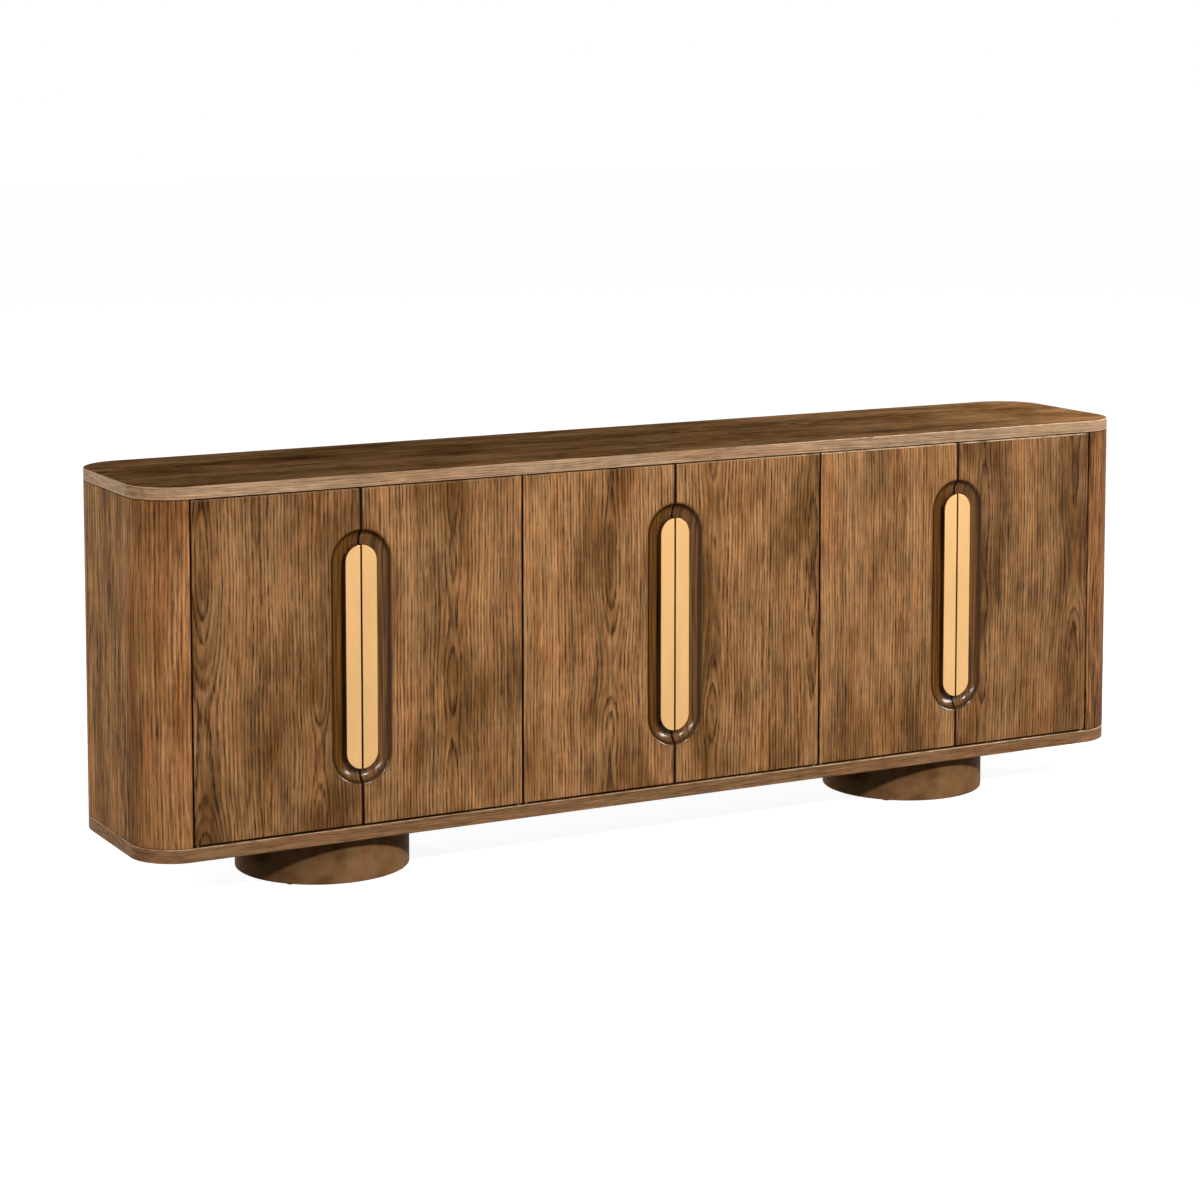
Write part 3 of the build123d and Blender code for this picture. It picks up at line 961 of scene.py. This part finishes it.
def make_peel_group():
    """The faint orange peel of moulded plastic."""
    g, given = new_group("Orange peel", {"vector": ("Position",), "colour": ("Tone",)},
                         {"colour": ("Color",), "value": ("Height",)})
    peel = g.noise(g.scaled(given["Position"], 900.0))
    level = g.plus(0.9, g.times(peel, 0.2))
    return end_group(g, {"Color": g.scaled(given["Tone"], level), "Height": peel})


# The colour of the painted highlights along arrises
highlight_tone = srgb(238, 208, 172)
# Near-black brown for the dark joint lines, and for painted shade on door sides and beside the door seams
dark_gap_tone = srgb(34, 21, 11)
veneer_group = make_veneer_group()
unroll_group = make_unroll_group()
scoop_group = make_scoop_group()
arris_highlight_group = make_arris_highlight_group()
joint_group = make_joint_group()
metal_group = make_metal_group()
peel_group = make_peel_group()


# Materials

far_heart = 9.0
base_of_veneer = {"First heart": far_heart, "Second heart": far_heart, "Phase": 0.0,
                  "Ring width": 6 * mm, "Eye size": 19 * mm, "Line strength": 1.0,
                  "Cloudiness": 0.85, "Cloud rise": 3.8, "Streaks": 1.0}


def new_material(name, roughness, specular, metallic=0.0):
    material = bpy.data.materials.new(name)
    material.use_nodes = True
    shader = material.node_tree.nodes["Principled BSDF"]
    shader.inputs["Roughness"].default_value = roughness
    shader.inputs["Specular IOR Level"].default_value = specular
    shader.inputs["Metallic"].default_value = metallic
    return material, Graph(material.node_tree), shader


def object_axes(graph):
    position = graph.add("TexCoord").outputs["Object"]
    return (position, *graph.axes(position))


def add_bump(graph, shader, height, depth):
    bump = graph.add("Bump", {"Strength": 1.0, "Distance": depth, "Height": height})
    graph.feed(shader.inputs["Normal"], bump.outputs["Normal"])


def dress(graph, shader, finish, colour, roughness, bump_depth):
    """Gives a shader its colour, and the sheen and height of a finish group."""
    graph.feed(shader.inputs["Base Color"], colour)
    graph.feed(shader.inputs["Roughness"], graph.plus(finish.outputs["Sheen"], roughness))
    add_bump(graph, shader, finish.outputs["Height"], bump_depth)


def stain(light, dark, cloud, warm, level=1.0):
    """The four tones of a stained veneer. level makes its light wood lighter or darker."""
    return {"Light": srgb(*(channel * level for channel in light)), "Dark": srgb(*dark),
            "Cloud": srgb(*cloud), "Warm": srgb(*warm)}


def add_veneer(graph, across, along, depth, tones, more):
    """The veneer group with its usual values, and those in more under the names of its sockets."""
    named = {name.replace("_", " ").capitalize(): value for name, value in more.items()}
    return graph.group(veneer_group, {"Across": across, "Along": along, "Depth": depth,
                                      **base_of_veneer, **tones, **named})


# Mixes a painted arris highlight into a colour
def paint_arris_highlight(graph, colour, distance, x, across, on_left=0.1):
    return graph.group(arris_highlight_group, {"Color": colour, "Distance": distance, "X": x, "Across": across,
                                    "On left": on_left}).outputs["Color"]


def wall_joints(graph, colour, z):
    return graph.group(joint_group, {"Color": colour, "Z": z, "Base top": base_top_z,
                                     "Top underside": top_under_z}).outputs["Color"]


def veneer_material(name, layout, tones, roughness, specular, highlight_z=None, joint_z=None,
                    is_wall=False, **more):
    """Veneer on a flat piece. layout names the axis across the grain, along it and into the piece.
    The letter r stands for the way round the edge of a slab."""
    material, graph, shader = new_material(name, roughness, specular)
    position, x, y, z = object_axes(graph)
    round_edge = graph.plus(x, graph.times(graph.math("ABSOLUTE", y), 2.2))
    chosen = {"x": x, "y": y, "z": z, "r": round_edge}
    wood = add_veneer(graph, *(chosen[letter] for letter in layout), tones, more)
    colour = wood.outputs["Color"]
    # Painted highlights along the slab's top arris and along its arris at a joint
    if highlight_z is not None:
        colour = paint_arris_highlight(graph, colour, graph.minus(highlight_z, z), x, y)
    if joint_z is not None:
        colour = paint_arris_highlight(graph, colour, graph.apart(joint_z, z), x, round_edge, 0.55)
    if is_wall:
        colour = wall_joints(graph, colour, z)
    dress(graph, shader, wood, colour, roughness, 0.15 * mm)
    return material


def round_veneer_material(name, centre, radius, tones, roughness, specular, is_wall=False, **more):
    """Veneer bent round an upright corner or drum."""
    material, graph, shader = new_material(name, roughness, specular)
    position, x, y, z = object_axes(graph)
    flat = graph.group(unroll_group, {"Position": position, "Centre X": centre.x,
                                      "Centre Y": centre.y, "Radius": radius})
    wood = add_veneer(graph, flat.outputs["Across"], flat.outputs["Along"], 0.0, tones, more)
    colour = wood.outputs["Color"]
    if is_wall:
        colour = wall_joints(graph, colour, z)
    dress(graph, shader, wood, colour, roughness, 0.12 * mm)
    return material


# Each door is cut from another part of the log. So each has its own level of light, its own place
# along the log, and its hearts, given as shares of the door's width.
door_cuts = {1: (0.96, 0.0, (0.055, 0.75)), 2: (1.01, 0.55, (0.555,)), 3: (1.06, 1.3, (0.57,)),
             4: (1.07, 2.05, (0.255, 0.947)), 5: (1.02, 3.1, ()), 6: (0.98, 4.0, (0.2, 0.9))}
door_roughness = 0.48
scoop_roughness = 0.3
scoop_coat = 0.2
scoop_coat_roughness = 0.18


def door_material(number):
    """Door veneer that turns to dark lacquer in the scoop."""
    level, phase, hearts = door_cuts[number]
    material, graph, shader = new_material("door_%d_veneer" % number, door_roughness, 0.03)
    shader.inputs["Coat Roughness"].default_value = scoop_coat_roughness
    position, x, y, z = object_axes(graph)
    low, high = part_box("door_%d_panel" % number)
    seam_x = pair_seams[(number - 1) // 2]
    heart_x = [low.x + share * (high.x - low.x) for share in hearts] + [far_heart, far_heart]
    tones = stain((170, 124, 80), (56, 36, 18), (172, 162, 138), (255, 236, 218), level)
    wood = add_veneer(graph, x, z, y, tones, {
        "first_heart": heart_x[0], "second_heart": heart_x[1], "phase": phase,
        "ring_width": 7.5 * mm, "streaks": 1.3, "cloudiness": 1.0})
    inside = graph.group(scoop_group, {
        "Position": position, "Seam X": seam_x, "Middle Z": door_middle_z,
        "Straight": scoop_straight / 2, "Start": scoop_radius - 2 * mm,
        "End": scoop_radius + scoop_rim + 3 * mm})
    mask, from_line = inside.outputs["Mask"], inside.outputs["Distance"]
    from_seam = graph.apart(x, seam_x)

    # The veneer, with a painted highlight along its top arris, and painted shade on its sides and beside
    # the seam, where the gap is dark
    veneer = paint_arris_highlight(graph, wood.outputs["Color"], graph.minus(high.z, z), x, z)
    on_side = graph.times(graph.span(y, front_y + 0.1 * mm, front_y + mm),
                          graph.span(y, high.y - 2 * mm, high.y - mm, 1, 0))
    side_face = graph.largest(graph.span(graph.minus(x, low.x), mm, 1.8 * mm, 1, 0),
                              graph.span(graph.minus(high.x, x), mm, 1.8 * mm, 1, 0))
    veneer = graph.mix(graph.times(on_side, side_face, 0.9), veneer, dark_gap_tone)
    veneer = graph.mix(graph.span(from_seam, 2.8 * mm, 4.8 * mm, 0.9, 0), veneer, dark_gap_tone)

    # The lacquer, streaked, with painted shade round the island and beside the seam
    veil = graph.grain(x, 300.0, z, 5.0, detail=3)
    lacquer = graph.mix(graph.span(veil, 0.34, 0.66), srgb(76, 47, 17), srgb(132, 89, 42))
    island_shade = graph.span(from_line, island_radius + 2 * mm, island_radius + 19 * mm, 1, 0)
    lacquer = graph.mix(graph.times(island_shade, 0.35), lacquer, srgb(44, 26, 10))
    lacquer = graph.mix(graph.span(from_seam, 2.4 * mm, 4 * mm, 0.9, 0), lacquer, dark_gap_tone)

    # Painted shade in a dark line where the two meet on the rim
    rim_shade = graph.span(graph.apart(from_line, scoop_radius - 2 * mm), mm, 6 * mm, 0.75, 0)
    colour = graph.mix(rim_shade, graph.mix(mask, veneer, lacquer), srgb(52, 29, 8))
    graph.feed(shader.inputs["Base Color"], colour)
    rough = graph.plus(wood.outputs["Sheen"], door_roughness)
    rough = graph.add("Mix", {0: mask, 2: rough, 3: scoop_roughness}, data_type="FLOAT").outputs[0]
    graph.feed(shader.inputs["Roughness"], rough)
    graph.feed(shader.inputs["Coat Weight"], graph.times(mask, scoop_coat))
    add_bump(graph, shader, graph.times(wood.outputs["Height"], graph.minus(1.0, mask)), 0.15 * mm)
    return material


def metal_material(name, tone, roughness, grain=(60.0, 60.0, 60.0)):
    material, graph, shader = new_material(name, roughness, 0.5, 1.0)
    position = graph.add("TexCoord").outputs["Object"]
    metal = graph.group(metal_group, {"Position": position, "Grain": grain, "Tone": tone})
    dress(graph, shader, metal, metal.outputs["Color"], roughness, 0.02 * mm)
    return material


def plastic_material(name, tone, roughness):
    material, graph, shader = new_material(name, roughness, 0.4)
    position = graph.add("TexCoord").outputs["Object"]
    plastic = graph.group(peel_group, {"Position": position, "Tone": tone})
    graph.feed(shader.inputs["Base Color"], plastic.outputs["Color"])
    add_bump(graph, shader, plastic.outputs["Height"], 0.05 * mm)
    return material


# Finishes

top_tones = stain((119, 89, 58), (42, 27, 13), (170, 156, 130), (255, 232, 212))
edge_tones = stain((187, 153, 118), (124, 90, 60), (215, 200, 185), (255, 228, 214))
base_tones = stain((147, 111, 76), (78, 53, 32), (205, 190, 172), (255, 226, 210))
end_tones = stain((177, 130, 82), (68, 46, 24), (170, 160, 142), (255, 230, 212))
drum_tones = stain((141, 105, 70), (108, 77, 47), (172, 162, 142), (255, 230, 210))
inner_tones = stain((128, 94, 62), (84, 58, 36), (190, 178, 160), (255, 232, 214))
corner_cloud, corner_warm = (168, 152, 134), (255, 228, 208)
# The right corners are darker: painted shade that offsets the light of the right lamp
corner_tones = {"left": stain((176, 125, 79), (88, 56, 30), corner_cloud, corner_warm),
                "right": stain((150, 103, 64), (72, 46, 23), corner_cloud, corner_warm)}
corner_streaks = {"left": 1.5, "right": 2.4}

top_veneer = veneer_material("top_veneer", "yxz", top_tones, 0.55, 0.0, ring_width=11 * mm,
                             first_heart=60 * mm, cloudiness=0.9, cloud_rise=3.0, streaks=1.7)
top_lipping = veneer_material("top_lipping", "zry", edge_tones, 0.48, 0.06, highlight_z=case_high.z,
                              joint_z=top_under_z, ring_width=5 * mm, line_strength=0.8,
                              cloudiness=0.5)
base_lipping = veneer_material("base_lipping", "zry", base_tones, 0.48, 0.03, joint_z=base_top_z,
                               ring_width=5 * mm, line_strength=0.8, cloudiness=0.6, phase=4.0,
                               streaks=1.1)
end_veneer = veneer_material("end_veneer", "yzx", end_tones, 0.48, 0.01, is_wall=True, phase=3.0,
                             cloud_rise=3.0, streaks=2.5, line_strength=1.4)
inner_upright = veneer_material("inner_upright_veneer", "yzx", inner_tones, 0.6, 0.2, phase=5.0)
inner_level = veneer_material("inner_level_veneer", "yxz", inner_tones, 0.6, 0.2, phase=6.0)
back_veneer = veneer_material("back_veneer", "xzy", inner_tones, 0.6, 0.2, phase=7.0)
brass = metal_material("satin_brass", srgb(180, 142, 94), 0.38, grain=(1400.0, 1400.0, 9.0))
hinge_steel = metal_material("hinge_steel", srgb(92, 80, 62), 0.45)
zinc = metal_material("zinc_plate", srgb(200, 200, 198), 0.35)
nickel = metal_material("nickel", srgb(180, 178, 174), 0.3)
catch_plastic = plastic_material("catch_plastic", srgb(58, 42, 32), 0.5)
glide_plastic = plastic_material("glide_plastic", srgb(48, 44, 40), 0.6)


# The case

lipping_turn = 0.92
for name, node, lipping in (("top_board", "top_slab", top_lipping),
                            ("base_board", "base_slab", base_lipping)):
    slab = make_slab(name, node)
    put_on(slab, "carcass", "slab_veneer", top_veneer, node)
    slab.data.materials.append(lipping)
    for face in slab.data.polygons:
        if abs(face.normal.z) < lipping_turn:
            face.material_index = 1

for side, side_x in both_sides:
    node = side + "_end_panel"
    outer_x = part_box(node)[0 if side_x < 0 else 1].x
    put_on(make_end(side + "_end", node, outer_x), "carcass", "case_veneer", end_veneer, node)

for row, side_y in (("front", -1), ("back", 1)):
    for side, side_x in both_sides:
        node = "%s_%s_corner" % (row, side)
        centre = Vector((side_x * (case_high.x - corner_radius), side_y * (case_high.y - corner_radius), 0))
        wood = round_veneer_material(
            node + "_veneer", centre, corner_radius, corner_tones[side], 0.5, 0.02, is_wall=True,
            phase=2.0 + side_x + 0.4 * side_y, cloudiness=1.0, cloud_rise=2.2, ring_width=9 * mm,
            line_strength=0.85, streaks=corner_streaks[side])
        put_on(make_corner("%s_%s_round" % (row, side), node, centre), "carcass", "case_veneer",
               wood, node)

for side in ("left", "right"):
    node = side + "_plinth_shell"
    low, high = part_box(node)
    wood = round_veneer_material(
        side + "_drum_veneer", (low + high) / 2, (high.x - low.x) / 2, drum_tones, 0.42, 0.01,
        ring_width=9 * mm, line_strength=0.1, cloudiness=1.0, cloud_rise=14.0, streaks=0.15)
    put_on(make_drum(side + "_drum", node), "carcass", "plinth_veneer", wood, node)


# The doors

first_pair = make_door_pair()
for number in door_numbers:
    name = "door_%d" % number
    pair, half = divmod(number - 1, 2)
    if pair == 0:
        door = first_pair[half]
    else:
        door = copy_of(first_pair[half], name, (pair_seams[pair] - pair_seams[0], 0, 0))
    put_on(door, name, "door_veneer", door_material(number), name + "_panel")
    put_on(make_plate(number), name, "brass", brass, name + "_pull_plate")
for number in door_numbers:
    finish_surface(bpy.data.objects["door_%d" % number])


# The inside and the hardware

for node in ("left_inner_side", "right_inner_side", "left_partition", "right_partition"):
    put_on(make_wall(node + "_board", node), "carcass", "inner_veneer", inner_upright, node)
for bay in ("left", "middle", "right"):
    for part, ease, wood in (("_shelf", 1.5 * mm, inner_level), ("_back_panel", 0.4 * mm, back_veneer)):
        node = bay + part
        put_on(finish_surface(make_board(node + "_board", node, ease)), "carcass", "inner_veneer",
               wood, node)
for side in ("left", "right"):
    node = side + "_plinth_disc"
    put_on(make_rounds(node + "_board", node, Z, board_ease, 96, 2), "carcass", "inner_veneer",
           inner_level, node)
put_on(make_blocks("corner_cleats", "back_cleats", board_ease), "carcass", "inner_veneer",
       inner_upright, "back_cleats")

for name, node, axis, head_sign, head_height, head_radius, shank_radius in (
        ("rear_screws", "back_screws", Y, 1, 2 * mm, 3.5 * mm, 1.75 * mm),
        ("drum_screws", "plinth_screws", Z, -1, 4 * mm, 6.5 * mm, 3 * mm),
        ("ear_screws", "catch_screws", Z, -1, 2 * mm, 3.5 * mm, 1.75 * mm)):
    put_on(make_screws(name, node, axis, head_sign, head_height, head_radius, shank_radius),
           "carcass", "zinc_steel", zinc, node)
put_on(make_rounds("shelf_supports", "shelf_pins", X, 0.8 * mm, 24), "carcass", "zinc_steel", zinc,
       "shelf_pins")
put_on(make_rounds("floor_glides", "plinth_glides", Z, 0.5 * mm), "carcass", "glide_nylon",
       glide_plastic, "plinth_glides")
put_on(make_fixed_leaves(), "carcass", "hinge_steel", hinge_steel, "fixed_hinge_leaves")
put_on(make_rounds("pivot_pins", "hinge_pins", Z, 0.5 * mm, radius=pin_radius), "carcass",
       "hinge_steel", hinge_steel, "hinge_pins")
put_on(make_catches(), "carcass", "catch_plastic", catch_plastic, "catch_housings")
put_on(make_blocks("magnets", "catch_magnets", 0.4 * mm), "carcass", "magnet", nickel,
       "catch_magnets")
for number in door_numbers:
    door = "door_%d" % number
    put_on(make_door_leaves(number), door, "hinge_steel", hinge_steel, door + "_hinge_leaves")
    put_on(make_strike(number), door, "zinc_steel", zinc, door + "_strike_plate")


# Floor, background, lamps and camera

floor_width = 60
floor_tone = (0.16, 0.16, 0.16, 1)
seen_floor_tone = (0.5, 0.5, 0.5, 1)
seen_floor_glow = 0.925
room_light = 0.12
front_middle = (0, -0.2, 0.4)
camera_place = (-3.2361, -5.8934, 1.7512)
camera_yaw = 0.49323
camera_down = 0.09444
camera_lens = 90.857
camera_shift = -0.225


def seen_directly(graph):
    """1 for rays from the camera, a gloss or glass, which see the pale studio."""
    path = graph.add("LightPath").outputs
    return graph.largest(graph.largest(path["Is Camera Ray"], path["Is Glossy Ray"]),
                         path["Is Transmission Ray"])


def stage_floor():
    """A floor that lights the object little, and shows pale with the object's shadow on it."""
    deselect()
    bpy.ops.mesh.primitive_plane_add(size=floor_width, location=(0, 0, 0))
    floor = settle("floor")
    material = bpy.data.materials.new("pale_floor")
    material.use_nodes = True
    graph = Graph(material.node_tree)
    graph.tree.nodes.remove(graph.tree.nodes["Principled BSDF"])
    plain = graph.add("BsdfDiffuse", {"Color": floor_tone}).outputs[0]
    soft = graph.add("BsdfDiffuse", {"Color": seen_floor_tone}).outputs[0]
    glow = graph.add("Emission", {"Color": (1, 1, 1, 1), "Strength": seen_floor_glow}).outputs[0]
    pale = graph.add("AddShader", {0: soft, 1: glow}).outputs[0]
    choice = graph.add("MixShader", {0: seen_directly(graph), 1: plain, 2: pale}).outputs[0]
    graph.feed(graph.tree.nodes["Material Output"].inputs["Surface"], choice)
    floor.data.materials.append(material)


def stage_world():
    """White where it is seen, dim where it lights the object."""
    world = bpy.data.worlds.new("studio")
    bpy.context.scene.world = world
    world.use_nodes = True
    graph = Graph(world.node_tree)
    background = world.node_tree.nodes["Background"]
    background.inputs["Color"].default_value = (1, 1, 1, 1)
    graph.feed(background.inputs["Strength"],
               graph.span(seen_directly(graph), 0, 1, room_light, 1.0, smooth=False))


def add_lamp(name, place, target, width, height, power, only_shines=False):
    """An area lamp. One that only shines is seen in glossy surfaces and lights nothing else."""
    data = bpy.data.lights.new(name, "AREA")
    data.shape = "RECTANGLE"
    data.size, data.size_y = width, height
    data.energy = power
    lamp = bpy.data.objects.new(name, data)
    lamp.location = place
    lamp.rotation_euler = (Vector(target) - Vector(place)).to_track_quat("-Z", "Y").to_euler()
    lamp.visible_camera = False
    lamp.visible_diffuse = not only_shines
    bpy.context.collection.objects.link(lamp)


def add_camera():
    data = bpy.data.cameras.new("view")
    data.sensor_width = 36
    data.lens = camera_lens
    data.shift_y = camera_shift
    camera = bpy.data.objects.new("view", data)
    camera.location = camera_place
    camera.rotation_euler = (math.pi / 2 - camera_down, 0, -camera_yaw)
    bpy.context.collection.objects.link(camera)
    bpy.context.scene.camera = camera


stage_floor()
stage_world()
add_lamp("front_lamp", (0.9, -6.5, 4.5), front_middle, 0.45, 0.45, 440)
add_lamp("front_left_lamp", (-2.8, -5.2, 4.6), front_middle, 0.7, 0.7, 50)
add_lamp("left_lamp", (-7.0, -1.0, 3.2), (-1.2, 0, 0.4), 1.5, 1.5, 112)
add_lamp("right_lamp", (5.6, -1.9, 1.7), (0.5, 0, 0.4), 0.5, 0.5, 34)
add_lamp("left_softbox", (-3.0, -5.4, 3.0), (-0.2, -0.2, 0.4), 1.8, 0.9, 400, only_shines=True)
add_lamp("right_softbox", (6.3, -4.4, 2.9), front_middle, 2.9, 1.4, 1050, only_shines=True)
add_lamp("top_lamp", (1.75, 0.35, 1.42), (1.2, 0, 0.87), 0.35, 0.35, 22)
add_lamp("back_lamp", (-4.5, 5.0, 1.8), (0, 0.2, 0.4), 2.5, 2.0, 150)
add_camera()
bpy.context.scene.view_settings.view_transform = "Standard"
